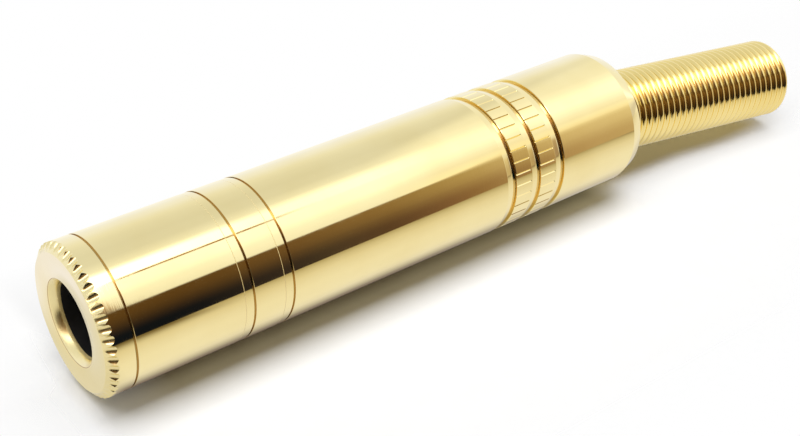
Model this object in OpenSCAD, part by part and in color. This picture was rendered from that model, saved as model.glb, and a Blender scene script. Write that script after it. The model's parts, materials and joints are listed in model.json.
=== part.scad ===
// Inline stereo jack socket for a 6.35 mm plug, with a coil-spring cable guard.
// It stands on its nose: z = 0 is the nose face, +Z runs back along the barrel to the spring.

/* [Barrel] */
// Outside diameter of every turned piece of the barrel
barrel_d = 13; // [12.6:0.1:16]
// Length of the toothed nose ring
nose_len = 2.37; // [2:0.01:4]
// Length of the front sleeve
sleeve_len = 10.51; // [9:0.01:14]
// Length of the collar ring between the sleeve and the shell
collar_len = 3.75; // [2:0.01:6]
// Length of the rear shell
shell_len = 40.4; // [38:0.1:60]
// Wall of the sleeve and the shell outside their threads
barrel_wall = 0.85; // [0.6:0.05:1]
// Radial play of each threaded spigot
thread_play = 0.05; // [0.02:0.01:0.1]
// Wall of the threaded spigots
spigot_wall = 0.7; // [0.5:0.05:0.8]
// Length of the nose ring's spigot
nose_spigot_len = 4.1; // [3:0.1:5]
// Length of the collar's rear spigot
shell_spigot_len = 5; // [3:0.1:8]
// Chamfer on each edge at a seam
edge_break = 0.03; // [0.02:0.01:0.1]
// Half the width of the open gap at a seam
seam_gap = 0.08; // [0.04:0.01:0.12]
// Depth of that gap
seam_depth = 0.2; // [0.15:0.05:0.5]
// Width of the land in front of each seam and groove
land_len = 0.88; // [0.6:0.01:1.2]
// Drop of the land in front of a seam
seam_land_drop = 0.02; // [0.01:0.01:0.05]
// Length of the small step at which that land starts
land_step = 0.06; // [0.03:0.01:0.1]

/* [Nose] */
// Widening of the plug hole at the nose face, on each side
nose_lead_in = 0.45; // [0.3:0.05:0.6]
// Depth of that widening
nose_lead_len = 0.5; // [0.3:0.05:0.7]
// Thickness of the lip around the plug hole
lip_t = 0.9; // [0.8:0.05:1.5]
// Drop of the chamfer on the nose ring's front edge
rim_drop = 0.66; // [0.4:0.02:0.8]
// Length of that chamfer along the barrel
rim_len = 0.5; // [0.3:0.05:0.7]
// Number of scallops around the front edge
scallop_count = 47; // [36:1:52]
// Radius of the round cutter that makes the scallops
scallop_r = 0.5; // [0.4:0.01:0.52]
// Length of the scallops along the barrel
scallop_len = 0.87; // [0.7:0.01:1.1]
// Plain rim between the scallops and the nose face
scallop_margin = 0.04; // [0.02:0.01:0.1]
// Turn of the scallops about the barrel's axis, in degrees
scallop_turn = -2; // [-4:0.1:4]

/* [Grip] */
// Distance from the front of the shell to the first groove's centre
grip_start = 23.9; // [20:0.1:26]
// Distance between the grooves
groove_pitch = 2.93; // [2.6:0.01:3.4]
// Width of each groove
groove_w = 0.38; // [0.3:0.02:0.7]
// Depth of each groove
groove_depth = 0.5; // [0.2:0.05:0.6]
// Width of each groove's floor
groove_floor = 0.26; // [0.1:0.02:0.3]
// Drop of the land in front of a groove
groove_land_drop = 0.14; // [0.05:0.01:0.2]
// Number of knurl lines around each band
knurl_count = 37; // [24:1:48]
// Depth of the knurl lines
knurl_depth = 0.07; // [0.05:0.01:0.2]
// Plain strip between the knurl lines and the next land
knurl_margin = 0.1; // [0.05:0.05:0.3]
// Turn of the knurl lines about the barrel's axis, in degrees
knurl_turn = -1.2; // [-5:0.1:5]
// Length of the chamfer on the rear edge
rear_chamfer_len = 1.3; // [0.6:0.1:1.6]
// Drop of that chamfer
rear_chamfer_drop = 0.43; // [0.2:0.01:0.6]
// Thickness of the rear wall
rear_wall = 2.2; // [1.6:0.1:3]

/* [Spring] */
// Outside diameter of the coil
spring_d = 8.05; // [7.6:0.05:8.4]
// Diameter of the wire
wire_d = 0.74; // [0.6:0.02:0.8]
// Gap between neighbouring turns
turn_gap = 0.015; // [0.01:0.005:0.05]
// Turns outside the shell
visible_turns = 30.3; // [20:0.1:36]
// Outside diameter of the trapped turns inside the shell
flare_d = 10.4; // [9.8:0.1:10.5]
// Lean of the coil off the barrel's axis, in degrees
spring_lean = 7.1; // [0:0.1:7.5]
// Radial room between the upright coil and the hole in the rear wall
spring_room = 0.325; // [0.3:0.005:0.4]

/* [Socket insert] */
// Diameter of the plug guide
plug_bore_d = 6.5; // [6.4:0.02:6.6]
// Length of the plug guide, from the insert's front face
plug_guide_len = 8.5; // [7:0.1:9]
// Radial relief of the plug channel behind the guide
channel_relief = 0.2; // [0.16:0.01:0.25]
// Depth of the insert's rear end, from the nose face
insert_depth = 32.5; // [32:0.1:34]
// Thickness of the flange that the barrel clamps
flange_t = 2; // [1.5:0.1:2.5]
// Thickness of the rear cap
cap_t = 3; // [2:0.1:4]
// Length of the boss that centres the cap in the insert
cap_boss_len = 1; // [0.6:0.1:1.2]
// Play between fitted pieces of the insert
insert_play = 0.05; // [0.02:0.01:0.1]

/* [Contacts] */
// Depth of the tip contact's nib, from the nose face
tip_depth = 25.8; // [25:0.1:26.5]
// Depth of the ring contact's nib
ring_depth = 20.7; // [20:0.1:21.5]
// Depth of the sleeve contact's nib
sleeve_depth = 12.6; // [12:0.1:15]
// Width of the contact leaves
leaf_w = 1.8; // [1.4:0.1:2.2]
// Thickness of the contact leaves
leaf_t = 0.3; // [0.2:0.02:0.34]
// Reach of each nib into the plug's path
nib_reach = 0.35; // [0.2:0.05:0.5]
// Length of the slope from the leaf down to its nib
nib_run = 2.7; // [2.2:0.1:3.2]
// Length of the turned-up free end
nib_tail = 1.6; // [1.2:0.1:2]
// Room for a leaf on each side of its slot
slot_room = 0.2; // [0.1:0.05:0.3]
// Length of the solder tags behind the cap
tag_len = 5; // [4:0.1:6]
// Diameter of the holes in the solder tags
tag_hole_d = 1.1; // [0.8:0.1:1.2]

/* [Cable clamp] */
// Length of the clamp's strap in front of its jaws
strap_len = 6.5; // [6:0.1:8]
// Length of the clamp's jaws
jaw_len = 5; // [4:0.1:6]
// Angle that the jaws span
jaw_angle = 240; // [180:5:270]
// Gap between the cap and the strap's front end
strap_gap = 0.4; // [0.2:0.1:0.8]
// Distance from the strap's front end to the rivet
rivet_setback = 1.6; // [1.2:0.1:2]
// Diameter of the rivet's shank
rivet_d = 1; // [0.8:0.1:1.2]
// Diameter of the rivet's heads
rivet_head_d = 1.7; // [1.5:0.1:1.8]
// Thickness of the rivet's heads
rivet_head_t = 0.3; // [0.2:0.05:0.4]
// Wall of the insulating tube
tube_wall = 0.35; // [0.2:0.05:0.4]
// Play between the tube and its neighbours
tube_play = 0.05; // [0.02:0.01:0.1]

/* [Hidden] */
$fn = 64;
eps = 0.01;

gold = [0.86, 0.70, 0.38];
black_plastic = [0.06, 0.06, 0.07];
clear_plastic = [0.88, 0.88, 0.84];
contact_metal = [0.80, 0.72, 0.55];

// Stations along the barrel
sleeve_z = nose_len;
collar_z = sleeve_z + sleeve_len;
shell_z = collar_z + collar_len;
shell_end = shell_z + shell_len;
rear_wall_z = shell_end - rear_wall;
flange_z = nose_len + nose_spigot_len;

// Radii of the barrel
barrel_r = barrel_d / 2;
thread_r = barrel_r - barrel_wall;
spigot_r = thread_r - thread_play;
spigot_bore_r = spigot_r - spigot_wall;

// Grip
groove_z = [for (i = [0:2]) shell_z + grip_start + i * groove_pitch];

// Coil
coil_r = (spring_d - wire_d) / 2;
flare_r = (flare_d - wire_d) / 2;
coil_pitch = wire_d + turn_gap;
flare_turns = 1;
closing_turns = 1;
wire_sides = 8;
turn_steps = 20;
spring_hole_r = spring_d / 2 + spring_room;
pivot_z = rear_wall_z + rear_wall / 2;
// Height of the plain coil's first turn, below the rear wall by what its lean takes up
neck_start = -rear_wall / 2 - wire_d / 2 - spring_hole_r * sin(spring_lean) - 2 * thread_play;
flare_start = neck_start - (flare_turns + closing_turns) * coil_pitch;
coil_turns = (rear_wall / 2 - flare_start) / coil_pitch + visible_turns;
tube_end = pivot_z + (flare_start - wire_d / 2) * cos(spring_lean)
    - (flare_r + wire_d / 2) * sin(spring_lean) - 2 * tube_play;

// Insert and contacts
plug_r = plug_bore_d / 2;
channel_r = plug_r + channel_relief;
insert_r = spigot_bore_r - insert_play;
flange_r = thread_r - insert_play;
cap_z = insert_depth + cap_t;
leaf_r = (channel_r + insert_r) / 2;
nib_r = plug_r - nib_reach;
slot_w = leaf_w + 2 * slot_room;
tag_end = cap_z + tag_len;
contact_turn = [for (i = [0:2]) i * 120];

// Clamp and tube
strap_z = cap_z + strap_gap;
strap_r = leaf_r + leaf_t;
rivet_z = strap_z + rivet_setback;
jaw_z = strap_z + strap_len;
tube_r = thread_r - tube_play;
tube_z = shell_z + shell_spigot_len + tube_play;

// Revolves a profile of (radius, height) points about the barrel's axis
module turned(points) {
    rotate_extrude() polygon(points);
}

// Outline of a seam at height z on its nose side, where the surface is lower by drop
function before_seam(z, drop) = [
    [barrel_r - drop, z - seam_gap - edge_break],
    [barrel_r - drop - edge_break, z - seam_gap],
    [barrel_r - seam_depth, z - seam_gap],
    [barrel_r - seam_depth, z]
];

// Outline of a seam at height z on its other side
function after_seam(z) = [
    [barrel_r - seam_depth, z],
    [barrel_r - seam_depth, z + seam_gap],
    [barrel_r - edge_break, z + seam_gap],
    [barrel_r, z + seam_gap + edge_break]
];

// Outline of the land in front of a seam at height z
function seam_land(z) = concat(
    [[barrel_r, z - land_len],
     [barrel_r - seam_land_drop, z - land_len + land_step]],
    before_seam(z, seam_land_drop)
);

// Cutters for the scallops, from the barrel's surface to just before the nose face
module scallop_cutters() {
    tilt = atan((rim_drop - scallop_margin) / scallop_len);
    reach = 6 * scallop_r;
    for (i = [0:scallop_count - 1])
        rotate(scallop_turn + i * 360 / scallop_count)
            translate([barrel_r, 0, scallop_len])
                rotate([0, tilt, 0])
                    translate([scallop_r, 0, 0])
                        cylinder(r = scallop_r, h = reach, center = true);
}

// Nose ring with its lip, scalloped edge and threaded spigot
module front_nut() {
    color(gold)
        difference() {
            turned(concat(
                [[plug_r + nose_lead_in, 0],
                 [barrel_r - rim_drop, 0],
                 [barrel_r, rim_len]],
                before_seam(nose_len, 0),
                [[spigot_r, nose_len],
                 [spigot_r, flange_z],
                 [spigot_bore_r, flange_z],
                 [spigot_bore_r, lip_t],
                 [plug_r, lip_t],
                 [plug_r, nose_lead_len]]
            ));
            scallop_cutters();
        }
}

// Plain sleeve, threaded inside at both ends
module front_sleeve() {
    color(gold)
        turned(concat(
            [[thread_r, sleeve_z]],
            after_seam(sleeve_z),
            seam_land(collar_z),
            [[thread_r, collar_z]]
        ));
}

// Collar ring with a threaded spigot at each end
module coupling_collar() {
    color(gold)
        turned(concat(
            [[spigot_bore_r, flange_z + flange_t],
             [spigot_r, flange_z + flange_t],
             [spigot_r, collar_z]],
            after_seam(collar_z),
            seam_land(shell_z),
            [[spigot_r, shell_z],
             [spigot_r, shell_z + shell_spigot_len],
             [spigot_bore_r, shell_z + shell_spigot_len]]
        ));
}

// Outline of the shell around one groove: tapered land, groove with sloped walls, and rear edge
function groove_profile(z) = [
    [barrel_r, z - land_len],
    [barrel_r - groove_land_drop, z - groove_w / 2],
    [barrel_r - groove_depth, z - groove_floor / 2],
    [barrel_r - groove_depth, z + groove_floor / 2],
    [barrel_r, z + groove_w / 2]
];

// V lines of one knurled band, from inside the groove at z to just before the next land
module knurl_cutters(z) {
    side = knurl_depth * sqrt(2);
    length = groove_pitch - land_len - knurl_margin;
    for (i = [0:knurl_count - 1])
        rotate(knurl_turn + i * 360 / knurl_count)
            translate([barrel_r, 0, z])
                rotate(45)
                    linear_extrude(height = length)
                        square(side, center = true);
}

// Rear shell: grooved and knurled grip, chamfered end and hole for the coil
module rear_shell() {
    outline = concat(
        [[thread_r, shell_z]],
        after_seam(shell_z),
        groove_profile(groove_z[0]),
        groove_profile(groove_z[1]),
        groove_profile(groove_z[2]),
        [[barrel_r, shell_end - rear_chamfer_len],
         [barrel_r - rear_chamfer_drop, shell_end],
         [spring_hole_r, shell_end],
         [spring_hole_r, rear_wall_z],
         [thread_r, rear_wall_z]]
    );
    color(gold)
        difference() {
            turned(outline);
            knurl_cutters(groove_z[0]);
            knurl_cutters(groove_z[1]);
        }
}

// Middle radius of the coil after a number of turns: one flared turn, one closing turn, then plain
function turn_r(turn) = flare_r + (coil_r - flare_r) * min(1, max(0, turn - flare_turns) / closing_turns);

// One ring of points around the wire after a number of turns
function wire_ring(turn) = [
    for (k = [0:wire_sides - 1])
        let (side = turn_r(turn) + wire_d / 2 * cos(k * 360 / wire_sides))
            [side * cos(turn * 360),
             side * sin(turn * 360),
             turn * coil_pitch + wire_d / 2 * sin(k * 360 / wire_sides)]
];

// Wire swept along the coil, with a flat end at each end
module coil() {
    steps = round(coil_turns * turn_steps);
    last = steps * wire_sides;
    points = [for (i = [0:steps]) each wire_ring(i / turn_steps)];
    walls = [
        for (i = [0:steps - 1])
            for (k = [0:wire_sides - 1])
                let (a = i * wire_sides + k, b = i * wire_sides + (k + 1) % wire_sides)
                    each [[a, b, b + wire_sides], [a, b + wire_sides, a + wire_sides]]
    ];
    ends = [
        [for (k = [wire_sides - 1:-1:0]) k],
        [for (k = [0:wire_sides - 1]) last + k]
    ];
    polyhedron(points, concat(walls, ends));
}

// Close-wound coil, trapped behind the rear wall and leaning in its hole
module strain_relief_spring() {
    color(gold)
        translate([0, 0, pivot_z])
            rotate([-spring_lean, 0, 0])
                translate([0, 0, flare_start])
                    coil();
}

// Tube that keeps the solder tags off the shell
module insulating_tube() {
    color(clear_plastic)
        turned([
            [tube_r - tube_wall, tube_z],
            [tube_r, tube_z],
            [tube_r, tube_end],
            [tube_r - tube_wall, tube_end]
        ]);
}

// Moulded body with the plug's guide, its channel and three open slots for the contacts
module insert_body() {
    color(black_plastic)
        difference() {
            turned([
                [plug_r, lip_t],
                [insert_r, lip_t],
                [insert_r, flange_z],
                [flange_r, flange_z],
                [flange_r, flange_z + flange_t],
                [insert_r, flange_z + flange_t],
                [insert_r, insert_depth],
                [channel_r, insert_depth],
                [channel_r, lip_t + plug_guide_len],
                [plug_r, lip_t + plug_guide_len]
            ]);
            contact_slot(contact_turn[0], tip_depth);
            contact_slot(contact_turn[1], ring_depth);
            contact_slot(contact_turn[2], sleeve_depth);
        }
}

// Slot for one contact, from just before its free end to the rear of the body
module contact_slot(turn, depth) {
    slot_z = depth - nib_tail - 2 * slot_room;
    rotate(turn)
        translate([channel_r / 2, -slot_w / 2, slot_z])
            cube([barrel_r, slot_w, insert_depth - slot_z + eps]);
}

// Rear cap that grips the contact tails and stops the plug
module insert_cap() {
    tail_w = leaf_w + 2 * insert_play;
    tail_t = leaf_t + 2 * insert_play;
    color(black_plastic)
        difference() {
            union() {
                translate([0, 0, insert_depth])
                    cylinder(r = insert_r, h = cap_t);
                translate([0, 0, insert_depth - cap_boss_len])
                    cylinder(r = channel_r - insert_play, h = cap_boss_len + eps);
            }
            for (turn = contact_turn)
                rotate(turn)
                    translate([leaf_r - tail_t / 2, -tail_w / 2, insert_depth - cap_boss_len - eps])
                        cube([tail_t, tail_w, cap_t + cap_boss_len + 2 * eps]);
        }
}

// Side view of a leaf: tail, straight run, nib and turned-up free end
module leaf_outline(depth, tail_z) {
    t = leaf_t / 2;
    slope_in = (leaf_r - nib_r) / nib_run;
    slope_out = (leaf_r - nib_r) / nib_tail;
    polygon([
        [leaf_r + t, tail_z],
        [leaf_r - t, tail_z],
        [leaf_r - t, depth + nib_run],
        [nib_r, depth + t * slope_in],
        [nib_r, depth - t * slope_out],
        [leaf_r - 3 * t, depth - nib_tail],
        [leaf_r - t, depth - nib_tail],
        [nib_r + leaf_t, depth - t * slope_out],
        [nib_r + leaf_t, depth + t * slope_in],
        [leaf_r + t, depth + nib_run]
    ]);
}

// One leaf, bent as its outline shows
module leaf(depth, tail_z) {
    rotate([90, 0, 0])
        linear_extrude(height = leaf_w, center = true)
            leaf_outline(depth, tail_z);
}

// Contact with a rounded, drilled solder tag behind the cap
module signal_contact(depth, turn) {
    color(contact_metal)
        rotate(turn)
            difference() {
                union() {
                    leaf(depth, tag_end);
                    tag_disc(leaf_w / 2, leaf_r - leaf_t / 2, tag_end);
                }
                tag_hole(tag_hole_d / 2, leaf_r, tag_end);
            }
}

// Round end of a flat tag whose inner face is at radius r
module tag_disc(disc_r, r, z) {
    translate([r, 0, z])
        rotate([0, 90, 0])
            cylinder(r = disc_r, h = leaf_t);
}

// Hole through a flat tag at radius r
module tag_hole(hole_r, r, z) {
    translate([r - 2 * leaf_t, 0, z])
        rotate([0, 90, 0])
            cylinder(r = hole_r, h = 4 * leaf_t);
}

module tip_contact() {
    signal_contact(tip_depth, contact_turn[0]);
}

module ring_contact() {
    signal_contact(ring_depth, contact_turn[1]);
}

// Contact for the plug's sleeve, with a riveted tail
module sleeve_contact() {
    color(contact_metal)
        rotate(contact_turn[2])
            difference() {
                union() {
                    leaf(sleeve_depth, rivet_z);
                    tag_disc(leaf_w / 2, leaf_r - leaf_t / 2, rivet_z);
                }
                tag_hole(rivet_d / 2, leaf_r, rivet_z);
            }
}

// Earth strap with curled jaws for the cable's jacket
module cable_clamp() {
    strap_in = strap_r - leaf_t / 2;
    color(contact_metal)
        rotate(contact_turn[2])
            difference() {
                union() {
                    translate([strap_in, -leaf_w / 2, strap_z])
                        cube([leaf_t, leaf_w, jaw_z - strap_z + jaw_len / 2]);
                    translate([0, 0, jaw_z])
                        rotate(-jaw_angle / 2)
                            rotate_extrude(angle = jaw_angle)
                                translate([strap_in, 0])
                                    square([leaf_t, jaw_len]);
                }
                tag_hole(rivet_d / 2, strap_r, rivet_z);
                tag_hole(tag_hole_d / 2, strap_r, jaw_z - tag_hole_d);
            }
}

// Rivet through the sleeve contact's tail and the strap
module clamp_rivet() {
    stack_in = leaf_r - leaf_t / 2;
    stack_t = 2 * leaf_t;
    color(contact_metal)
        rotate(contact_turn[2])
            translate([stack_in, 0, rivet_z])
                rotate([0, 90, 0]) {
                    translate([0, 0, -eps])
                        cylinder(d = rivet_d, h = stack_t + 2 * eps);
                    translate([0, 0, -rivet_head_t])
                        cylinder(d = rivet_head_d, h = rivet_head_t);
                    translate([0, 0, stack_t])
                        cylinder(d = rivet_head_d, h = rivet_head_t);
                }
}

front_nut();
front_sleeve();
coupling_collar();
rear_shell();
strain_relief_spring();
insulating_tube();
insert_body();
insert_cap();
tip_contact();
ring_contact();
sleeve_contact();
cable_clamp();
clamp_rivet();
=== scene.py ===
import json
import math

import bpy
import numpy as np
from mathutils import Matrix, Vector


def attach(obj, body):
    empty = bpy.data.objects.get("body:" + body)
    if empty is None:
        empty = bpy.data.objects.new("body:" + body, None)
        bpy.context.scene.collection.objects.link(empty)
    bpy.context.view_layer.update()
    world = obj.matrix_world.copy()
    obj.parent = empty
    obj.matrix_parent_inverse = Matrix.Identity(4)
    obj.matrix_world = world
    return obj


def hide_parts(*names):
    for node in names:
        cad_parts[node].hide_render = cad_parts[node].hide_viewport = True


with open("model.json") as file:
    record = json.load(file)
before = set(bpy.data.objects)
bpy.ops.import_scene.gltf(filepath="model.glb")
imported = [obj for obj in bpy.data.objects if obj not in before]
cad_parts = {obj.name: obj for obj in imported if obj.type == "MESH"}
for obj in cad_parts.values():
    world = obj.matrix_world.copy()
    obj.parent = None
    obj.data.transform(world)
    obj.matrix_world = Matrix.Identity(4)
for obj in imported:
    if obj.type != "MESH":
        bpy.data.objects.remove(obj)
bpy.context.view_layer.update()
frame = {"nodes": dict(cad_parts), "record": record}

# A millimetre in metres, which are the scene's unit
MM = 0.001

# Sizes of the part, as its source has them: lengths in millimetres and angles in radians
BARREL_R, BARREL_WALL, THREAD_PLAY, SPIGOT_WALL = 6.5, 0.85, 0.05, 0.7
NOSE_LEN, SLEEVE_LEN, COLLAR_LEN, SHELL_LEN = 2.37, 10.51, 3.75, 40.4
NOSE_SPIGOT, SHELL_SPIGOT, FLANGE_T = 4.1, 5.0, 2.0
EDGE, GAP, GAP_DEPTH = 0.03, 0.08, 0.2
LAND, LAND_DROP, LAND_STEP = 0.88, 0.02, 0.06
HOLE_R, LEAD_IN, LEAD_LEN, LIP = 3.25, 0.45, 0.5, 0.9
RIM_DROP, RIM_LEN = 0.66, 0.5
SCALLOPS, SCALLOP_R, SCALLOP_LEN, SCALLOP_MARGIN = 47, 0.5, 0.87, 0.04
GRIP_START, GROOVE_PITCH, GROOVE_COUNT = 23.9, 2.93, 3
GROOVE_W, GROOVE_DEPTH, GROOVE_FLOOR, GROOVE_DROP = 0.38, 0.5, 0.26, 0.14
KNURLS, KNURL_DEPTH, KNURL_MARGIN = 37, 0.07, 0.1
REAR_LEN, REAR_DROP, REAR_WALL = 1.3, 0.43, 2.2
SPRING_R, SPRING_ROOM, SPRING_FLARE_R, WIRE_R, TURN_GAP = 4.025, 0.325, 5.2, 0.37, 0.015
SCALLOP_TURN, KNURL_TURN, LEAN = math.radians(-2.0), math.radians(-1.2), math.radians(7.1)

# Sizes that follow from them
THREAD_R = BARREL_R - BARREL_WALL
SPIGOT_R = THREAD_R - THREAD_PLAY
SPIGOT_BORE_R = SPIGOT_R - SPIGOT_WALL
SLEEVE_Z = NOSE_LEN
COLLAR_Z = SLEEVE_Z + SLEEVE_LEN
SHELL_Z = COLLAR_Z + COLLAR_LEN
SHELL_END = SHELL_Z + SHELL_LEN
FLANGE_Z = NOSE_LEN + NOSE_SPIGOT
MOUTH_R = HOLE_R + LEAD_IN
GROOVES = [SHELL_Z + GRIP_START + i * GROOVE_PITCH for i in range(GROOVE_COUNT)]
KNURL_LEN = GROOVE_PITCH - LAND - KNURL_MARGIN
SPRING_HOLE_R = SPRING_R + SPRING_ROOM
COIL_R, FLARE_R = SPRING_R - WIRE_R, SPRING_FLARE_R - WIRE_R
PITCH = 2 * WIRE_R + TURN_GAP
PIVOT_Z = SHELL_END - REAR_WALL / 2

# The spring's turns, and the start of its coil from the pivot in millimetres, both rounded
TURNS, COIL_START = 36.55, -3.618

# Finer sizes in millimetres that only the scene has
MOUTH_ROUND, MOUTH_EDGE_OUT, MOUTH_EDGE_IN, MOUTH_EDGE_Z = 0.9, 0.04, 0.01, 0.02
SCALLOP_HALF, RING_PLAIN_Z = 0.408, 1.4
LAND_ROUND, GROOVE_ROUND, GROOVE_BEVEL, FLOOR_FALL, KNURL_END = 0.1, 0.03, 0.04, 0.046, 0.04
REAR_ROUND, REAR_HOLE_ROUND = 0.06, 0.08

# Shares of a tapered land's length at which extra rings keep its shading straight
LAND_HOLDS = (0.08, 0.72)

# How finely the surfaces are cut, and the angles in degrees from which their edges stay sharp
SCALLOP_POINTS, SCALLOP_ROWS, ROUND_POINTS, KNURL_POINTS = 15, 5, 288, 6
WIRE_STEPS, WIRE_SIDES = 80, 16
SHARP_SCALLOPS, SHARP_TURNED, SHARP_WIRE = 28, 10, 40

# Directions of the photograph's set-up: the part lies on a table whose normal is UP
TURN = math.radians(52.4)
UP = Vector((math.sin(TURN), -math.cos(TURN), 0))
SIDE = Vector((math.cos(TURN), math.sin(TURN), 0))
AXIS = Vector((0, 0, 1))
BARREL_RADIUS = BARREL_R * MM


def from_parts(z, u, s):
    """A vector from its parts along the barrel, up from the table and towards the camera's side."""
    return AXIS * z + UP * u + SIDE * s


def add_object(name, data):
    thing = bpy.data.objects.new(name, data)
    bpy.context.scene.collection.objects.link(thing)
    return thing


def set_pose(thing, x_axis, y_axis, z_axis, place):
    """Turns a thing's axes into the given directions and puts it at a place in barrel radii."""
    pose = Matrix((x_axis, y_axis, z_axis)).transposed().to_4x4()
    pose.translation = place * BARREL_RADIUS
    thing.matrix_world = pose


# Camera
CAMERA_LENS, CAMERA_SENSOR, CAMERA_CLIP = 60.33, 36, (0.001, 10)
CAMERA_RIGHT = from_parts(0.7896, 0, 0.6136)
CAMERA_DOWN = from_parts(-0.3238, -0.8494, 0.4167)
CAMERA_FORWARD = from_parts(0.5212, -0.5278, -0.6707)
CAMERA_PLACE = from_parts(-4.801, 9.482, 12.593)
camera = add_object("camera", bpy.data.cameras.new("camera"))
bpy.context.scene.camera = camera
camera.data.lens = CAMERA_LENS
camera.data.sensor_width = CAMERA_SENSOR
camera.data.clip_start, camera.data.clip_end = CAMERA_CLIP
set_pose(camera, CAMERA_RIGHT, -CAMERA_DOWN, -CAMERA_FORWARD, CAMERA_PLACE)


# Node helpers
def link_or_set(tree, socket, value):
    if isinstance(value, bpy.types.NodeSocket):
        tree.links.new(value, socket)
    else:
        socket.default_value = value


def calc(tree, operation, a, b=0.0):
    """A Math node's result."""
    node = tree.nodes.new("ShaderNodeMath")
    node.operation = operation
    link_or_set(tree, node.inputs[0], a)
    link_or_set(tree, node.inputs[1], b)
    return node.outputs[0]


def times(tree, first, *others):
    """The product of several values."""
    for other in others:
        first = calc(tree, "MULTIPLY", first, other)
    return first


def total(tree, first, *others):
    """The sum of several values."""
    for other in others:
        first = calc(tree, "ADD", first, other)
    return first


def one_minus(tree, value):
    return calc(tree, "SUBTRACT", 1.0, value)


def hypotenuse(tree, a, b):
    return calc(tree, "SQRT", total(tree, calc(tree, "POWER", a, 2), calc(tree, "POWER", b, 2)))


def degrees(tree, y, x):
    """The angle of a direction with the parts x and y."""
    return times(tree, calc(tree, "ARCTAN2", y, x), 180 / math.pi)


def dot(tree, vector, direction):
    node = tree.nodes.new("ShaderNodeVectorMath")
    node.operation = "DOT_PRODUCT"
    tree.links.new(vector, node.inputs[0])
    node.inputs[1].default_value = direction
    return node.outputs["Value"]


def smooth_step(tree, value, low, high, start=0.0, end=1.0):
    """A value that goes smoothly from start at low to end at high."""
    node = tree.nodes.new("ShaderNodeMapRange")
    node.interpolation_type = "SMOOTHSTEP"
    link_or_set(tree, node.inputs["Value"], value)
    link_or_set(tree, node.inputs["From Min"], low)
    link_or_set(tree, node.inputs["From Max"], high)
    node.inputs["To Min"].default_value = start
    node.inputs["To Max"].default_value = end
    return node.outputs["Result"]


def smooth_fall(tree, value, low, high):
    """A value that goes smoothly from 1 at low to 0 at high."""
    return smooth_step(tree, value, low, high, 1.0, 0.0)


def band(tree, value, rise, fall):
    """A value that rises smoothly to 1 over one stretch and falls to 0 over a later one."""
    return times(tree, smooth_step(tree, value, *rise), smooth_fall(tree, value, *fall))


def near(tree, value, centre, inner, outer):
    """A value that is 1 within inner of the centre and 0 beyond outer."""
    off = calc(tree, "ABSOLUTE", calc(tree, "SUBTRACT", value, centre))
    return smooth_fall(tree, off, inner, outer)


def halfway(tree, share):
    """A value that is 1 where a share is a half, and 0 where it is 0 or 1."""
    return times(tree, share, one_minus(tree, share), 4.0)


def between(tree, share, start, end):
    """A value that goes evenly from start to end as a share goes from 0 to 1."""
    return total(tree, times(tree, share, end - start), start)


def rgba(colour):
    """A colour with full alpha, from a grey level or three parts."""
    if isinstance(colour, (int, float)):
        return (colour, colour, colour, 1)
    return (*colour, 1)


def ramp(tree, factor, stops, low=0.0, high=1.0):
    """A colour ramp over low to high, from pairs of a place and a grey level or colour."""
    node = tree.nodes.new("ShaderNodeValToRGB")
    share = calc(tree, "DIVIDE", calc(tree, "SUBTRACT", factor, low), high - low)
    tree.links.new(share, node.inputs["Fac"])
    elements = node.color_ramp.elements
    while len(elements) < len(stops):
        elements.new(0.5)
    for element, (place, colour) in zip(elements, stops):
        element.position = (place - low) / (high - low)
        element.color = rgba(colour)
    return node.outputs["Color"]


def blend_colour(tree, factor, a, b, kind="MIX"):
    """A blend of two colours, each a node's output, a grey level or three parts."""
    node = tree.nodes.new("ShaderNodeMix")
    node.data_type = "RGBA"
    node.blend_type = kind
    link_or_set(tree, node.inputs[0], factor)
    for socket, colour in ((node.inputs[6], a), (node.inputs[7], b)):
        link_or_set(tree, socket, colour if isinstance(colour, bpy.types.NodeSocket) else rgba(colour))
    return node.outputs[2]


def mix_shaders(tree, factor, a, b):
    node = tree.nodes.new("ShaderNodeMixShader")
    for socket, source in zip(node.inputs, (factor, a, b)):
        tree.links.new(source, socket)
    return node.outputs[0]


def emission(tree, colour):
    node = tree.nodes.new("ShaderNodeEmission")
    tree.links.new(colour, node.inputs["Color"])
    return node.outputs[0]


# World: white for the camera, an even fill for matt surfaces, and a tent with a dark opening for metal
AMBIENT, STRIP_LEVEL = 0.08, 3.2
LINE_COLOUR, OPENING_EDGE_COLOUR = (0.39, 0.19, 0.07), (0.85, 0.52, 0.28)

# Stretches in degrees over which the tent and its bright strip change
TENT_CHANGE, TENT_SLANT, TENT_SLANT_START = (31, 36), 0.2, -13.0
STRIP_START, STRIP_END, STRIP_WIDE_END = (2, 9), (21.0, 22.5), (40.0, 52.0)
STRIP_WIDENS, STRIP_NARROWS = (5, 10), (17.6, 18.8)

# Falls of the strip's strength: a stretch in degrees along the barrel and the share that ends there
STRIP_FALLS = (((14, 18), 0.4), ((20, 27), 0.6))

# Stretches in degrees of the opening's bottom, tinted rim and low part, and of the part beyond the grip
OPENING_BOTTOM, OPENING_RIM_END, LOW_PART, BEYOND_GRIP = (118, 126), (18.6, 19.5), (64, 98), (62, 75)
GRIP_SLANT, GRIP_SLANT_MIDDLE = 0.07, 77.0

# Changes of the opening's upper edge: stretches along the barrel, and how its start and end go there
EDGE_STRETCHES = ((17.6, 19.4), (33, 40), (4, 14))
EDGE_STARTS = ((30.0, 59.5), (0.0, -9.0), (-14.0, 0.0))
EDGE_ENDS = ((64.0, 62.0), (0.0, 5.0), (-10.0, 0.0))

# Thin line at the strip's edge, in degrees
LINE_AROUND, LINE_HALF, LINE_START, LINE_END = 21.8, (0.7, 1.7), (19.3, 19.5), (25, 28.5)


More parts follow.
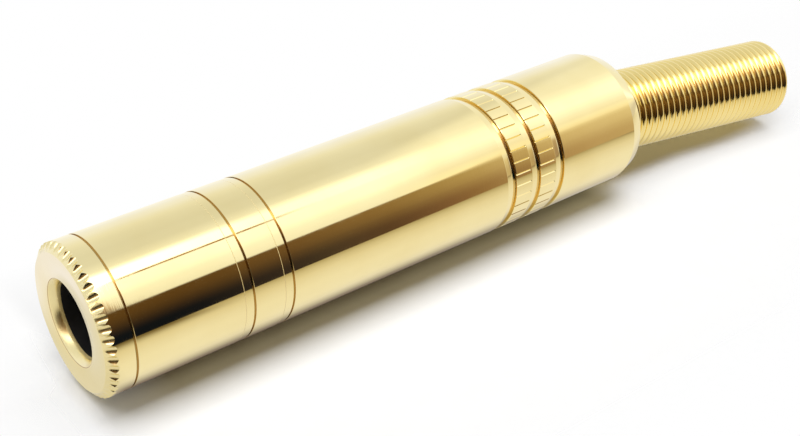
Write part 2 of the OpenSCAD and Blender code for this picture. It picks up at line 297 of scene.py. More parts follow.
def ray_angles(tree):
    """A ray's angles in degrees: around the barrel, from straight up towards the camera's side, and
    along it, from square across towards the spring."""
    ray = tree.nodes.new("ShaderNodeTexCoord").outputs["Generated"]
    u, s, z = dot(tree, ray, UP), dot(tree, ray, SIDE), dot(tree, ray, AXIS)
    return degrees(tree, s, u), degrees(tree, z, hypotenuse(tree, u, s))


def tent_tones(tree, around, along):
    """The light tent and its strip, which is wider in the part that the nose ring reflects."""
    far_side = [(-180, 0.95), (-115, 1.08), (-95, (0.99, 1.02, 1.15)), (-75, (0.98, 1.0, 1.12))]
    towards_nose = ramp(tree, around, far_side + [
        (-60, 0.93), (-48, 0.86), (-30, 0.81), (-13, 0.83), (-6, 0.92), (0, 1.02), (5, 1.35), (9, 1.6),
        (21, 1.6), (22, 1.45), (36, 1.38), (46, 1.15), (62, 1.0), (180, 1.0)], -180, 180)
    towards_spring = ramp(tree, around, far_side + [
        (-60, 1.0), (-37, 0.99), (-13, 1.05), (0, 1.18), (11, 1.38), (24, 1.4), (35, 1.18),
        (47, (1.05, 1.0, 0.9)), (59, (1.22, 1.12, 0.87)), (180, 1.0)], -180, 180)
    behind = calc(tree, "MINIMUM", calc(tree, "SUBTRACT", around, TENT_SLANT_START), 0.0)
    slanted = total(tree, along, times(tree, behind, TENT_SLANT))
    tent = blend_colour(tree, smooth_step(tree, slanted, *TENT_CHANGE), towards_nose, towards_spring)
    wide = band(tree, along, STRIP_WIDENS, STRIP_NARROWS)
    strip_end = [between(tree, wide, *ends) for ends in zip(STRIP_END, STRIP_WIDE_END)]
    strip = band(tree, around, STRIP_START, strip_end)
    level = total(tree, *[smooth_step(tree, along, *stretch, share, 0.0) for stretch, share in STRIP_FALLS])
    return blend_colour(tree, times(tree, strip, level), tent, STRIP_LEVEL)


def front_tones(tree, around, along):
    """What is seen in the opening: brown and dark, paler towards both ends and darkest low down."""
    front = ramp(tree, along, [
        (-90, 1.0), (-82, 0.95), (-75, (0.30, 0.22, 0.14)), (-40, (0.11, 0.06, 0.022)),
        (22, (0.12, 0.062, 0.02)), (27, (0.18, 0.10, 0.04)), (32, (0.30, 0.185, 0.075)),
        (36, (0.50, 0.36, 0.17)), (40, (0.75, 0.60, 0.38)), (45, (0.90, 0.78, 0.54)),
        (60, (0.98, 0.94, 0.86))], -90, 90)
    low_down = ramp(tree, along, [
        (22, (0.113, 0.0535, 0.005)), (28, (0.138, 0.071, 0.014)), (32, (0.18, 0.12, 0.037)),
        (35, (0.21, 0.186, 0.075)), (41, (0.22, 0.23, 0.18))], -90, 90)
    front = blend_colour(tree, smooth_step(tree, around, *LOW_PART), front, low_down, "SUBTRACT")
    slanted = total(tree, along, times(tree, calc(tree, "SUBTRACT", around, GRIP_SLANT_MIDDLE), GRIP_SLANT))
    beyond_grip = ramp(tree, slanted, [
        (57.5, 1.0), (59.1, (0.84, 0.73, 0.49)), (60.15, (0.73, 0.60, 0.38)), (61.2, (0.55, 0.42, 0.31)),
        (62.5, (0.50, 0.38, 0.28)), (66, 1.0)], 50, 70)
    return blend_colour(tree, smooth_step(tree, around, *BEYOND_GRIP), front, beyond_grip, "MULTIPLY")


def opening_share(tree, around, along):
    """How much of a direction is in the opening, whose upper edge changes along the barrel."""
    edge = [total(tree, *[smooth_step(tree, along, *stretch, *change)
                          for stretch, change in zip(EDGE_STRETCHES, changes)])
            for changes in (EDGE_STARTS, EDGE_ENDS)]
    return band(tree, around, edge, OPENING_BOTTOM)


world = bpy.data.worlds.new("studio")
bpy.context.scene.world = world
world.use_nodes = True
world.cycles.sampling_method = "NONE"
tree = world.node_tree
tree.nodes.clear()
around, along = ray_angles(tree)
opening = opening_share(tree, around, along)
studio = blend_colour(tree, opening, tent_tones(tree, around, along), front_tones(tree, around, along))
rim = times(tree, halfway(tree, opening), smooth_fall(tree, along, *OPENING_RIM_END))
studio = blend_colour(tree, rim, studio, OPENING_EDGE_COLOUR, "MULTIPLY")
line = times(tree, near(tree, around, LINE_AROUND, *LINE_HALF), band(tree, along, LINE_START, LINE_END))
studio = blend_colour(tree, line, studio, LINE_COLOUR)
path = tree.nodes.new("ShaderNodeLightPath")
seen = blend_colour(tree, path.outputs["Is Glossy Ray"], AMBIENT, studio)
seen = blend_colour(tree, path.outputs["Is Transmission Ray"], seen, 1.0)
seen = blend_colour(tree, path.outputs["Is Camera Ray"], seen, 1.0)
background = tree.nodes.new("ShaderNodeBackground")
tree.links.new(seen, background.inputs["Color"])
tree.links.new(background.outputs[0], tree.nodes.new("ShaderNodeOutputWorld").inputs["Surface"])

# Soft lamp, which gives the table its shadow
LAMP_PLACE, LAMP_WIDTH, LAMP_LENGTH, LAMP_ENERGY = from_parts(6, 22, 1.2), 0.09, 0.26, 0.31
lamp = add_object("overhead", bpy.data.lights.new("overhead", "AREA"))
lamp.data.shape = "RECTANGLE"
lamp.data.size, lamp.data.size_y = LAMP_WIDTH, LAMP_LENGTH
lamp.data.energy = LAMP_ENERGY
lamp.visible_glossy = lamp.visible_camera = False
set_pose(lamp, SIDE, UP.cross(SIDE), UP, LAMP_PLACE)

# Material helpers, with the amounts of a noise between which a finish changes
NOISE_LOW, NOISE_HIGH = 0.3, 0.7


def new_material(name):
    material = bpy.data.materials.new(name)
    material.use_nodes = True
    return material, material.node_tree, material.node_tree.nodes["Principled BSDF"]


def noise(tree, vector, scale, detail=2.0):
    node = tree.nodes.new("ShaderNodeTexNoise")
    node.inputs["Scale"].default_value = scale
    node.inputs["Detail"].default_value = detail
    tree.links.new(vector, node.inputs["Vector"])
    return node.outputs["Fac"]


def two_tones(tree, amount, low, high):
    """A colour between two tones, by the amount of a noise."""
    return ramp(tree, amount, [(NOISE_LOW, low), (NOISE_HIGH, high)])


# Staged sheets, which aren't part of the object
def rectangle(low_a, high_a, low_b, high_b):
    """The four corners of a rectangle, in order around it."""
    return [(low_a, low_b), (low_a, high_b), (high_a, high_b), (high_a, low_b)]


def staged_sheet(name, corners, facing):
    """A flat sheet with four corners in barrel radii that faces one way."""
    mesh = bpy.data.meshes.new(name)
    mesh.from_pydata([corner * BARREL_RADIUS for corner in corners], [], [(0, 1, 2, 3)])
    if mesh.polygons[0].normal.dot(facing) < 0:
        mesh.flip_normals()
    sheet = add_object(name, mesh)
    return sheet


def sheet_material(sheet, name):
    """An empty material for a sheet, with the nodes for a place on it and for its back."""
    material, tree, shader = new_material(name)
    sheet.data.materials.append(material)
    tree.nodes.remove(shader)
    geometry = tree.nodes.new("ShaderNodeNewGeometry")
    return tree, geometry.outputs["Position"], geometry.outputs["Backfacing"]


def radii_along(tree, place, direction):
    """A place's distance along a direction, in barrel radii."""
    return calc(tree, "DIVIDE", dot(tree, place, direction), BARREL_RADIUS)


def set_surface(tree, cover, surface):
    """Shows a surface where cover is 1 and nothing where it is 0."""
    clear = tree.nodes.new("ShaderNodeBsdfTransparent").outputs[0]
    output = tree.nodes["Material Output"].inputs["Surface"]
    tree.links.new(mix_shaders(tree, cover, clear, surface), output)


# Table: a pale sheet under the part that fades out, and that isn't there from behind
TABLE_U, TABLE_START, TABLE_END, TABLE_FAR, TABLE_NEAR = -1.0, -12.0, 26.0, -14.0, 5.3
PAPER_SCALE, PAPER_DARK = 400, 0.985
# Painted tints of the table as metal sees it: cool on the far side before the nose, dark at the near edge by
# the nose and at the near corner by the spring
COOL_TONE, BRINK_TONE, CORNER_TONE = (0.975, 0.98, 1.20), (0.20, 0.15, 0.07), (0.34, 0.25, 0.17)

# Stretches in barrel radii over which the table fades, first for all rays and then for the camera alone,
# where the shadow is painted paler
FAR_FADE, START_FADE, END_FADE = (-13.5, -6.0), (-11.5, -5.0), (17.0, 25.5)
NEAR_FADE, SPRING_FADE, SPRING_SHARE = (2.6, 5.0), (11.7, 13.2), 0.35

# The place beside the spring where the shadow is painted paler: where it begins, where it moves aside, and
# how it grows towards the side
PALER_START, PALER_MOVE, PALER_SHIFT = (8.2, 9.1), (10.0, 11.3), 0.14
PALER_SIDE, PALER_SHARE = (0.3, 0.75), 0.55

# Stretches in barrel radii of the painted shadow beside the barrel, and of the painted tones that metal sees
SHADOW_START, SHADOW_END, SHADOW_DEEPENS = (-0.05, 0.25), (8.1, 8.7), (5.5, 7.8)
UNDER_START, UNDER_END, UNDER_SHARE = (-0.1, 0.45), (4.0, 11.0), 0.3
COOL_END, COOL_NEAR = (-0.6, -0.1), (-2.3, -0.9)
BRINK_END, BRINK_SIDE = (2.4, 3.2), (3.0, 5.2)
CORNER_START, CORNER_SIDE = (11.0, 13.6), (4.2, 4.8)


def table_cover(tree, s, z, camera_ray, backfacing):
    """How much of the table is there. The camera sees it only where the part's shadow falls, and that shadow
    is painted paler in places by fading the sheet out.
    """
    # Painted paler shadow: for the camera the sheet fades by place, so its shadow shows less before the nose,
    # beside the spring and past its end
    shown = times(
        tree, smooth_fall(tree, s, *NEAR_FADE),
        ramp(tree, s, [(-3.0, 0.0), (-1.5, 0.3), (-1.0, 0.4), (-0.5, 0.55), (-0.1, 1.0)], -4, 1),
        ramp(tree, z, [(-1.2, 0.1), (-0.4, 0.24), (-0.2, 0.3), (0.03, 0.88), (0.5, 0.93), (1.0, 1.0)], -2, 2),
        smooth_step(tree, z, *SPRING_FADE, 1.0, SPRING_SHARE))
    aside = calc(tree, "SUBTRACT", s, smooth_step(tree, z, *PALER_MOVE, 0.0, PALER_SHIFT))
    paler = smooth_step(tree, aside, *PALER_SIDE, 0.0, PALER_SHARE)
    paler = times(tree, smooth_step(tree, z, *PALER_START), paler)
    shown = times(tree, shown, one_minus(tree, paler))
    shown = calc(tree, "MAXIMUM", shown, one_minus(tree, camera_ray))
    return times(tree, shown, smooth_step(tree, s, *FAR_FADE), band(tree, z, START_FADE, END_FADE),
                 one_minus(tree, backfacing))


def table_matt(tree, place, s, z):
    """The table's colour: pale paper, with a painted shadow that darkens it right beside the barrel."""
    # Painted shadow: the paper is darkened beside the barrel, more so towards its rear end
    painted_shadow_tone = ramp(tree, s, [(0.3, 0.6), (0.45, 0.68), (0.6, 0.88), (0.72, 1.0)])
    painted_shadow_deeper = blend_colour(tree, smooth_step(tree, z, *SHADOW_DEEPENS), 1.0, painted_shadow_tone)
    painted_shadow_tone = blend_colour(tree, 1.0, painted_shadow_tone, painted_shadow_deeper, "MULTIPLY")
    grain = two_tones(tree, noise(tree, place, PAPER_SCALE), PAPER_DARK, 1.0)
    return blend_colour(tree, band(tree, z, SHADOW_START, SHADOW_END), grain, painted_shadow_tone, "MULTIPLY")


def table_in_metal(tree, s, z):
    """The table as metal sees it, a glowing sheet with painted light and shade: a painted shadow under the
    part, and painted warmer and dimmer tones towards its near edge.
    """
    painted_near_edge_tones = [(1.7, (0.96, 0.92, 0.86)), (2.9, (0.84, 0.77, 0.63)), (4.8, (0.54, 0.46, 0.30)),
                 (5.6, (0.40, 0.33, 0.20))]
    painted_shadow_in_metal = ramp(tree, s, [
        (-14, 1.05), (-1.6, 1.02), (-1.1, 0.93), (-0.9, 0.84), (-0.75, 0.54), (-0.6, 0.29), (-0.4, 0.12),
        (0, 0.06), (0.4, (0.14, 0.11, 0.09)), (0.5, (0.21, 0.16, 0.13)), (0.62, (0.32, 0.28, 0.26)),
        (0.75, (0.56, 0.53, 0.50)), (0.91, (0.87, 0.84, 0.84)), (1.1, (0.96, 0.93, 0.90)),
        *painted_near_edge_tones], -14, 6)
    plain = ramp(tree, s, [(-14, 1.05), *painted_near_edge_tones], -14, 6)
    under = smooth_step(tree, z, *UNDER_END, 1.0, UNDER_SHARE)
    under = times(tree, smooth_step(tree, z, *UNDER_START), under)
    tone = blend_colour(tree, under, plain, painted_shadow_in_metal)
    painted_dim_before_nose = ramp(tree, z, [(-1.4, 0.94), (-0.25, 0.84), (0.1, 0.84), (0.5, 1.0)], -2, 1)
    tone = blend_colour(tree, 1.0, tone, painted_dim_before_nose, "MULTIPLY")
    cool = times(tree, smooth_fall(tree, z, *COOL_END), smooth_fall(tree, s, *COOL_NEAR))
    tone = blend_colour(tree, cool, tone, COOL_TONE)
    brink = times(tree, smooth_fall(tree, z, *BRINK_END), smooth_step(tree, s, *BRINK_SIDE))
    tone = blend_colour(tree, brink, tone, BRINK_TONE)
    corner = times(tree, smooth_step(tree, z, *CORNER_START), smooth_step(tree, s, *CORNER_SIDE))
    return blend_colour(tree, corner, tone, CORNER_TONE)


table_corners = rectangle(TABLE_START, TABLE_END, TABLE_FAR, TABLE_NEAR)
table = staged_sheet("table", [from_parts(z, TABLE_U, s) for z, s in table_corners], UP)
tree, place, backfacing = sheet_material(table, "table_white")
place_s, place_z = radii_along(tree, place, SIDE), radii_along(tree, place, AXIS)
path = tree.nodes.new("ShaderNodeLightPath")
matt = tree.nodes.new("ShaderNodeBsdfDiffuse")
tree.links.new(table_matt(tree, place, place_s, place_z), matt.inputs["Color"])
# Glossy rays see a glowing sheet with a painted shadow and painted tints instead of the lit paper
paper = mix_shaders(tree, path.outputs["Is Glossy Ray"], matt.outputs[0],
                    emission(tree, table_in_metal(tree, place_s, place_z)))
set_surface(tree, table_cover(tree, place_s, place_z, path.outputs["Is Camera Ray"], backfacing), paper)

# Dark card behind the barrel's end, a painted dark reflection seen only by the side of the spring's wire that
# faces the nose
CARD_Z, CARD_INNER = 8.785, 0.64
CARD_BOTTOM, CARD_TOP, CARD_FAR, CARD_NEAR = -0.97, 5, 0.3, 8
CARD_SOFTNESS = (-0.03, 0.07)

# The card's slanted edges: a point's height and side, the angle in degrees, and 1 or -1 for the kept side
CARD_EDGES = ((0.32, 0.537, 67.5, 1), (0.03, 0.64, 119.0, -1))
card_corners = rectangle(CARD_BOTTOM, CARD_TOP, CARD_FAR, CARD_NEAR)
card = staged_sheet("spring_card", [from_parts(CARD_Z, u, s) for u, s in card_corners], AXIS)
card.visible_camera = card.visible_diffuse = card.visible_shadow = card.visible_transmission = False
tree, place, backfacing = sheet_material(card, "card_painted_reflection")
radius = hypotenuse(tree, radii_along(tree, place, UP), radii_along(tree, place, SIDE))
cover = times(tree, one_minus(tree, backfacing), calc(tree, "GREATER_THAN", radius, CARD_INNER))
depths = []
for u, s, angle, sign in CARD_EDGES:
    inward_u, inward_s = -sign * math.sin(math.radians(angle)), sign * math.cos(math.radians(angle))
    inward = radii_along(tree, place, from_parts(0, inward_u, inward_s))
    depths.append(calc(tree, "SUBTRACT", inward, inward_u * u + inward_s * s))
    cover = times(tree, cover, smooth_step(tree, depths[-1], *CARD_SOFTNESS))
height = calc(tree, "DIVIDE", depths[1], total(tree, depths[0], depths[1]))
# The card glows a painted dark reflection, from near black to brown across it
brown = ramp(tree, height, [(0.0, (0.02, 0.014, 0.008)), (0.35, (0.04, 0.021, 0.008)),
                            (0.7, (0.11, 0.055, 0.018)), (1.0, (0.24, 0.13, 0.045))])
set_surface(tree, cover, emission(tree, brown))


# Materials of the part
def stretched(tree, vector, scale):
    node = tree.nodes.new("ShaderNodeVectorMath")
    node.operation = "MULTIPLY"
    tree.links.new(vector, node.inputs[0])
    node.inputs[1].default_value = scale
    return node.outputs[0]


def bump(tree, shader, height, strength, depth_mm):
    node = tree.nodes.new("ShaderNodeBump")
    node.inputs["Strength"].default_value = strength
    node.inputs["Distance"].default_value = depth_mm * MM
    tree.links.new(height, node.inputs["Height"])
    tree.links.new(node.outputs[0], shader.inputs["Normal"])


def object_point(tree):
    return tree.nodes.new("ShaderNodeTexCoord").outputs["Object"]


# Colours and roughness of the plating in the joints, grooves and other cuts, with a painted dark shade line
# on the mouth's bevel
SEAM_COLOUR, MOUTH_EDGE_SHADE_COLOUR = (0.68, 0.51, 0.22), (0.50, 0.33, 0.13)
STEP_COLOUR, GROOVE_COLOUR = (0.86, 0.72, 0.37), (0.92, 0.80, 0.52)
SEAM_ROUGH, STEP_ROUGH, GROOVE_ROUGH = 0.15, 0.5, 0.1005
SCALLOP_ROUGH, MOUTH_ROUGH, HOLE_ROUGH = 0.2, 0.3, 0.65

# Soft limits of these finishes in millimetres: heights, steps in radius and half widths
NOSE_START, NOSE_END, NOSE_RADIUS = (0.005, 0.03), (0.95, 1.0), (-0.04, -0.01)
MOUTH_RADIUS, HOLE_RADIUS = (0.2, 0.3), (0.01, 0.04)
MOUTH_EDGE_HALF, MOUTH_EDGE_END = (0.025, 0.03), (0.03, 0.04)
SEAM_HALF, SEAM_RADIUS = (GAP + EDGE - 0.01, GAP + EDGE + 0.005), (-0.012, -0.003)
STEP_HALF, STEP_RADIUS = (LAND_STEP * 0.5, LAND_STEP * 0.6), (-0.2, -0.1)
GROOVE_RADIUS, GRIP_HALF = (-0.24, -0.16), 3.5


def limits(radius, steps):
    """Two radii, each a step away from a given one."""
    return [radius + step for step in steps]


def nose_roughness(tree, radius, height):
    """The duller finish of the scallops, the countersink and the hole's start."""
    off_barrel = times(tree, smooth_fall(tree, height, *NOSE_END), smooth_step(tree, height, *NOSE_START),
                       smooth_fall(tree, radius, *limits(BARREL_R, NOSE_RADIUS)))
    mouth = smooth_step(tree, radius, *limits(MOUTH_R, MOUTH_RADIUS), MOUTH_ROUGH, SCALLOP_ROUGH)
    hole = smooth_step(tree, radius, *limits(HOLE_R, HOLE_RADIUS), HOLE_ROUGH - MOUTH_ROUGH, 0.0)
    return times(tree, off_barrel, total(tree, mouth, hole))


def near_any(tree, value, centres, half_widths):
    """A value that is 1 near any of the centres."""
    result = 0.0
    for centre in centres:
        result = calc(tree, "MAXIMUM", result, near(tree, value, centre, *half_widths))
    return result


def in_seams(tree, radius, height):
    """Where the open joints between the turned pieces are."""
    return times(tree, near_any(tree, height, (SLEEVE_Z, COLLAR_Z, SHELL_Z), SEAM_HALF),
                 smooth_fall(tree, radius, *limits(BARREL_R, SEAM_RADIUS)))


def on_steps(tree, radius, height):
    """Where the small steps in front of the joints are."""
    middles = [seam - LAND + LAND_STEP / 2 for seam in (COLLAR_Z, SHELL_Z)]
    return times(tree, near_any(tree, height, middles, STEP_HALF),
                 smooth_step(tree, radius, *limits(BARREL_R, STEP_RADIUS)))


def in_grooves(tree, radius, height):
    """Where the lower parts of the grip's grooves are."""
    from_grip = calc(tree, "ABSOLUTE", calc(tree, "SUBTRACT", height, GROOVES[1]))
    return times(tree, smooth_fall(tree, radius, *limits(BARREL_R, GROOVE_RADIUS)),
                 calc(tree, "LESS_THAN", from_grip, GRIP_HALF))


def on_mouth_edge(tree, radius, height):
    """Where the bevel between the countersink and the nose face is, which gets a painted dark shade line."""
    middle = MOUTH_R + (MOUTH_EDGE_OUT - MOUTH_EDGE_IN) / 2
    return times(tree, near(tree, radius, middle, *MOUTH_EDGE_HALF),
                 smooth_fall(tree, height, *MOUTH_EDGE_END))


# Scales of the finishes' noises, stretches of their lines, and strengths and depths in millimetres of bumps
TONE_SCALE, HAZE_SCALE, HAZE_HIGH = 220, 900, 0.75
TURNING_STRETCH, TURNING_STRENGTH, TURNING_DEPTH = (0.05, 0.05, 1.0), 0.06, 0.01
TONE_COARSER, GRAIN_DEPTH = 6, 0.02
STAIN_SCALE, ROLLING_SCALE, ROLLING_STRETCH = 500, 6000, (1.0, 1.0, 0.04)
ROLLING_ROUGH, ROLLING_STRENGTH, ROLLING_DEPTH = (0.18, 0.32), 0.15, 0.01


def gold(name, dark, pale, rough_low, rough_high, line_scale):
    """Polished plating: slight changes of tone, faint haze and fine turning lines, duller in the cuts, with a
    painted dark shade line at the mouth's bevel.
    """
    material, tree, shader = new_material(name)
    point = object_point(tree)
    parts = tree.nodes.new("ShaderNodeSeparateXYZ")
    tree.links.new(point, parts.inputs[0])
    radius = calc(tree, "DIVIDE", hypotenuse(tree, parts.outputs["X"], parts.outputs["Y"]), MM)
    height = calc(tree, "DIVIDE", parts.outputs["Z"], MM)
    colour = two_tones(tree, noise(tree, point, TONE_SCALE, detail=3), dark, pale)
    haze = noise(tree, point, HAZE_SCALE, detail=4)
    rough = smooth_step(tree, haze, NOISE_LOW, HAZE_HIGH, rough_low, rough_high)
    rough = calc(tree, "MAXIMUM", rough, nose_roughness(tree, radius, height))
    # The mouth's bevel is darkened as a painted shade line
    for place, tone, dullness in (
            (in_seams(tree, radius, height), SEAM_COLOUR, SEAM_ROUGH),
            (on_mouth_edge(tree, radius, height), MOUTH_EDGE_SHADE_COLOUR, 0.0),
            (on_steps(tree, radius, height), STEP_COLOUR, STEP_ROUGH),
            (in_grooves(tree, radius, height), GROOVE_COLOUR, GROOVE_ROUGH)):
        colour = blend_colour(tree, place, colour, tone)
        rough = calc(tree, "MAXIMUM", rough, times(tree, place, dullness))
    shader.inputs["Metallic"].default_value = 1.0
    tree.links.new(colour, shader.inputs["Base Color"])
    tree.links.new(rough, shader.inputs["Roughness"])
    lines = noise(tree, stretched(tree, point, TURNING_STRETCH), line_scale, detail=3)
    bump(tree, shader, lines, TURNING_STRENGTH, TURNING_DEPTH)
    return material


def plastic(name, low, high, rough_low, rough_high, scale, strength):
    """Moulded plastic: fine grain, uneven gloss and slight changes of tone."""
    material, tree, shader = new_material(name)
    point = object_point(tree)
    colour = two_tones(tree, noise(tree, point, scale / TONE_COARSER, detail=3), low, high)
    tree.links.new(colour, shader.inputs["Base Color"])
    grain = noise(tree, point, scale, detail=4)
    rough = smooth_step(tree, grain, NOISE_LOW, NOISE_HIGH, rough_low, rough_high)
    tree.links.new(rough, shader.inputs["Roughness"])
    bump(tree, shader, grain, strength, GRAIN_DEPTH)
    return material


def strip_metal(name, low, high):
    """Plated spring strip: rolling lines along the strip and slight staining."""
    material, tree, shader = new_material(name)
    point = object_point(tree)
    colour = two_tones(tree, noise(tree, point, STAIN_SCALE, detail=4), low, high)
    tree.links.new(colour, shader.inputs["Base Color"])
    shader.inputs["Metallic"].default_value = 1.0
    rolling = noise(tree, stretched(tree, point, ROLLING_STRETCH), ROLLING_SCALE, detail=3)
    rough = smooth_step(tree, rolling, NOISE_LOW, NOISE_HIGH, *ROLLING_ROUGH)
    tree.links.new(rough, shader.inputs["Roughness"])
    bump(tree, shader, rolling, ROLLING_STRENGTH, ROLLING_DEPTH)
    return material


gold_plate = gold("gold_plate", (0.90, 0.775, 0.400), (0.93, 0.815, 0.445), 0.045, 0.085, 9000)
gold_wire = gold("gold_wire", (0.90, 0.73, 0.290), (0.93, 0.77, 0.335), 0.07, 0.12, 2500)
black_plastic = plastic("black_plastic", (0.006, 0.006, 0.007), (0.010, 0.010, 0.011), 0.45, 0.6, 2400, 0.25)
tube_plastic = plastic("tube_plastic", (0.80, 0.80, 0.76), (0.86, 0.86, 0.83), 0.35, 0.5, 1500, 0.15)
contact_metal = strip_metal("contact_metal", (0.70, 0.60, 0.40), (0.82, 0.74, 0.54))
finishes = {"gold_plate": gold_plate, "gold_wire": gold_wire, "black_plastic": black_plastic,
            "tube_plastic": tube_plastic, "contact_metal": contact_metal}
for subpart in frame["record"]["subparts"]:
    node = frame["nodes"][subpart["node"]]
    node.data.materials.clear()
    node.data.materials.append(finishes[subpart["material_slot"]])


# Turned pieces
def softened(points, radii, steps=4):
    """A closed outline with the corners named in radii rounded by an arc."""
    out = []
    count = len(points)
    for i, corner in enumerate(points):
        radius = radii.get(i, radii.get(i - count, 0))
        p = np.array(corner, float)
        if radius == 0:
            out.append(tuple(p))
            continue
        a = np.array(points[i - 1], float) - p
        b = np.array(points[(i + 1) % count], float) - p
        a /= np.linalg.norm(a)
        b /= np.linalg.norm(b)
        half = math.acos(max(-1, min(1, float(a @ b)))) / 2
        centre = p + (a + b) / np.linalg.norm(a + b) * radius / math.sin(half)
        start = p + a * radius / math.tan(half) - centre
        end = p + b * radius / math.tan(half) - centre
        sweep = math.atan2(start[0] * end[1] - start[1] * end[0], float(start @ end))
        for k in range(steps + 1):
            t = sweep * k / steps
            out.append((centre[0] + start[0] * math.cos(t) - start[1] * math.sin(t),
                        centre[1] + start[0] * math.sin(t) + start[1] * math.cos(t)))
    return out


def add_mesh(name, points, faces, material, sharp_deg):
    mesh = bpy.data.meshes.new(name)
    mesh.from_pydata([tuple(p) for p in points], [], faces)
    mesh.polygons.foreach_set("use_smooth", [True] * len(mesh.polygons))
    mesh.set_sharp_from_angle(angle=math.radians(sharp_deg))
    mesh.materials.append(material)
    mesh.validate()
    mesh.update()
    return add_object(name, mesh)


def revolved(name, rings, angles, material, sharp_deg):
    """A closed outline turned about the axis: each ring is (radius, height), a number or one per angle."""
    count = len(angles)
    points, faces = [], []
    for radius, height in rings:
        r = np.broadcast_to(radius, count) * MM
        z = np.broadcast_to(height, count) * MM
        points.extend(zip(r * np.cos(angles), r * np.sin(angles), z))
    for i in range(len(rings)):
        j = (i + 1) % len(rings)
        for k in range(count):
            n = (k + 1) % count
            faces.append((i * count + k, i * count + n, j * count + n, j * count + k))
    return add_mesh(name, points, faces, material, sharp_deg)


def finish_piece(piece, node):
    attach(piece, "root")
    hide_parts(node)


def pattern_angles(count, offsets):
    """Angles around the axis, with the same offsets from the middle of each of count places."""
    return np.array([2 * math.pi * i / count + o for i in range(count) for o in offsets])


def even_angles(count):
    return np.arange(count) * 2 * math.pi / count


def before_seam(z, drop):
    """The open edge of a joint at z, on the nose's side, with the surface lower by drop."""
    top = BARREL_R - drop
    floor = BARREL_R - GAP_DEPTH
    return [(top, z - GAP - EDGE), (top - EDGE, z - GAP), (floor, z - GAP), (floor, z)]


def after_seam(z):
    """The open edge of a joint at z, on the spring's side."""
    return [(r, 2 * z - h) for r, h in reversed(before_seam(z, 0))]


def land(z):
    """The small step that starts the land in front of a joint."""
    return [(BARREL_R, z - LAND), (BARREL_R - LAND_DROP, z - LAND + LAND_STEP)]


# Nose ring: its chamfer steps back wherever a round cutter has scalloped it
tilt = math.atan((RIM_DROP - SCALLOP_MARGIN) / SCALLOP_LEN)
half_angle = SCALLOP_HALF / BARREL_R
angles = pattern_angles(SCALLOPS, np.linspace(-half_angle, half_angle, SCALLOP_POINTS))
offset = angles - np.round(angles * SCALLOPS / (2 * math.pi)) * 2 * math.pi / SCALLOPS
rise = SCALLOP_R - np.sqrt(SCALLOP_R ** 2 - (offset * BARREL_R) ** 2)
front_z = (SCALLOP_MARGIN + rise / math.cos(tilt)) / (RIM_DROP / RIM_LEN - math.tan(tilt))
back_z = SCALLOP_LEN - rise / math.sin(tilt)
front_r = BARREL_R - RIM_DROP + front_z * RIM_DROP / RIM_LEN
flute = [(front_r + (BARREL_R - front_r) * t, front_z + (back_z - front_z) * t)
         for t in np.linspace(0, 1, SCALLOP_ROWS)]
nose = revolved("nose_ring", [
    (MOUTH_R + MOUTH_EDGE_OUT, 0), (BARREL_R - RIM_DROP, 0), *flute,
    *softened([(BARREL_R, RING_PLAIN_Z), *before_seam(SLEEVE_Z, 0), (SPIGOT_R, SLEEVE_Z),
               (SPIGOT_R, FLANGE_Z), (SPIGOT_BORE_R, FLANGE_Z), (SPIGOT_BORE_R, LIP), (HOLE_R, LIP),
               (HOLE_R, LEAD_LEN), (MOUTH_R - MOUTH_EDGE_IN, MOUTH_EDGE_Z)], {-2: MOUTH_ROUND})],
    angles + SCALLOP_TURN, gold_plate, SHARP_SCALLOPS)
finish_piece(nose, "front_nut")

# Plain sleeve and collar ring
sleeve = revolved("plain_sleeve", [
    (THREAD_R, SLEEVE_Z), *after_seam(SLEEVE_Z), *land(COLLAR_Z), *before_seam(COLLAR_Z, LAND_DROP),
    (THREAD_R, COLLAR_Z)], even_angles(ROUND_POINTS), gold_plate, SHARP_TURNED)
finish_piece(sleeve, "front_sleeve")
collar = revolved("collar_ring", [
    (SPIGOT_BORE_R, FLANGE_Z + FLANGE_T), (SPIGOT_R, FLANGE_Z + FLANGE_T), (SPIGOT_R, COLLAR_Z),
    *after_seam(COLLAR_Z), *land(SHELL_Z), *before_seam(SHELL_Z, LAND_DROP), (SPIGOT_R, SHELL_Z),
    (SPIGOT_R, SHELL_Z + SHELL_SPIGOT), (SPIGOT_BORE_R, SHELL_Z + SHELL_SPIGOT)],
    even_angles(ROUND_POINTS), gold_plate, SHARP_TURNED)
finish_piece(collar, "coupling_collar")

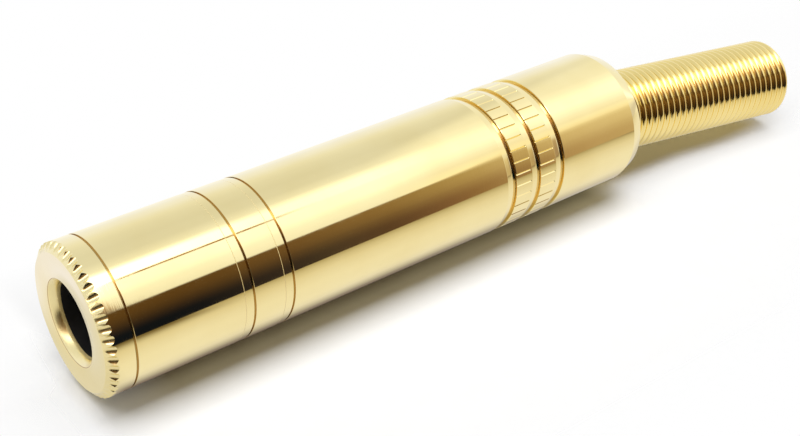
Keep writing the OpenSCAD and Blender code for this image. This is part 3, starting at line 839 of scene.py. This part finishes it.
# Grip shell: grooves with a tapered land in front, and V lines between them
step = 2 * math.pi / KNURLS
v_half = KNURL_DEPTH / BARREL_R
flat_part = np.linspace(v_half, step - v_half, KNURL_POINTS)[:-1]
angles = pattern_angles(KNURLS, [-v_half, -v_half / 2, 0, v_half / 2, *flat_part])
v_cut = np.maximum(0, KNURL_DEPTH - np.abs(angles - np.round(angles / step) * step) * BARREL_R)
rings = [(THREAD_R, SHELL_Z), *after_seam(SHELL_Z)]
for z in GROOVES:
    low, high = z - GROOVE_W / 2, z + GROOVE_W / 2
    held = [(BARREL_R - GROOVE_DROP * t, z - LAND + (low - z + LAND) * t) for t in LAND_HOLDS]
    rings += softened([(BARREL_R, z - 2 * LAND), (BARREL_R, z - LAND), *held, (BARREL_R - GROOVE_DROP, low),
                       (BARREL_R - GROOVE_DEPTH + FLOOR_FALL, z - GROOVE_FLOOR / 2),
                       (BARREL_R - GROOVE_DEPTH, z + GROOVE_FLOOR / 2)], {1: LAND_ROUND, 4: GROOVE_ROUND})[1:]
    cut = 0 if z == GROOVES[-1] else v_cut
    rings += [(BARREL_R - np.maximum(GROOVE_BEVEL, cut), high - GROOVE_BEVEL / 2),
              (BARREL_R - cut, high + GROOVE_BEVEL / 2)]
    if z != GROOVES[-1]:
        rings += [(BARREL_R - cut, z + KNURL_LEN - KNURL_END), (BARREL_R, z + KNURL_LEN)]
rings += softened([(BARREL_R, SHELL_END - REAR_LEN), (BARREL_R - REAR_DROP, SHELL_END),
                   (SPRING_HOLE_R, SHELL_END), (SPRING_HOLE_R, SHELL_END - REAR_WALL),
                   (THREAD_R, SHELL_END - REAR_WALL)], {1: REAR_ROUND, 2: REAR_HOLE_ROUND})
shell = revolved("grip_shell", rings, angles + KNURL_TURN, gold_plate, SHARP_TURNED)
finish_piece(shell, "rear_shell")

# Guard spring: round wire along the leaning coil, with flared turns inside the shell
count = round(TURNS * WIRE_STEPS) + 1
turn = np.arange(count) / WIRE_STEPS
coil_r = FLARE_R + (COIL_R - FLARE_R) * np.clip(turn - 1, 0, 1)
theta = 2 * math.pi * turn
section = even_angles(WIRE_SIDES)
radial = coil_r[:, None] + WIRE_R * np.cos(section)[None, :]
height = turn[:, None] * PITCH + WIRE_R * np.sin(section)[None, :] + COIL_START
x = (radial * np.cos(theta)[:, None]).ravel()
y = (radial * np.sin(theta)[:, None]).ravel()
z = height.ravel()
points = np.stack([x, y * math.cos(LEAN) + z * math.sin(LEAN),
                   z * math.cos(LEAN) - y * math.sin(LEAN) + PIVOT_Z], 1)
faces = []
for i in range(count - 1):
    for k in range(WIRE_SIDES):
        here, there = i * WIRE_SIDES, (i + 1) * WIRE_SIDES
        n = (k + 1) % WIRE_SIDES
        faces.append((here + k, there + k, there + n, here + n))
faces.append(tuple(range(WIRE_SIDES)))
faces.append(tuple((count - 1) * WIRE_SIDES + k for k in reversed(range(WIRE_SIDES))))
spring = add_mesh("guard_spring", points * MM, faces, gold_wire, SHARP_WIRE)
finish_piece(spring, "strain_relief_spring")

bpy.context.scene.view_settings.view_transform = "Standard"
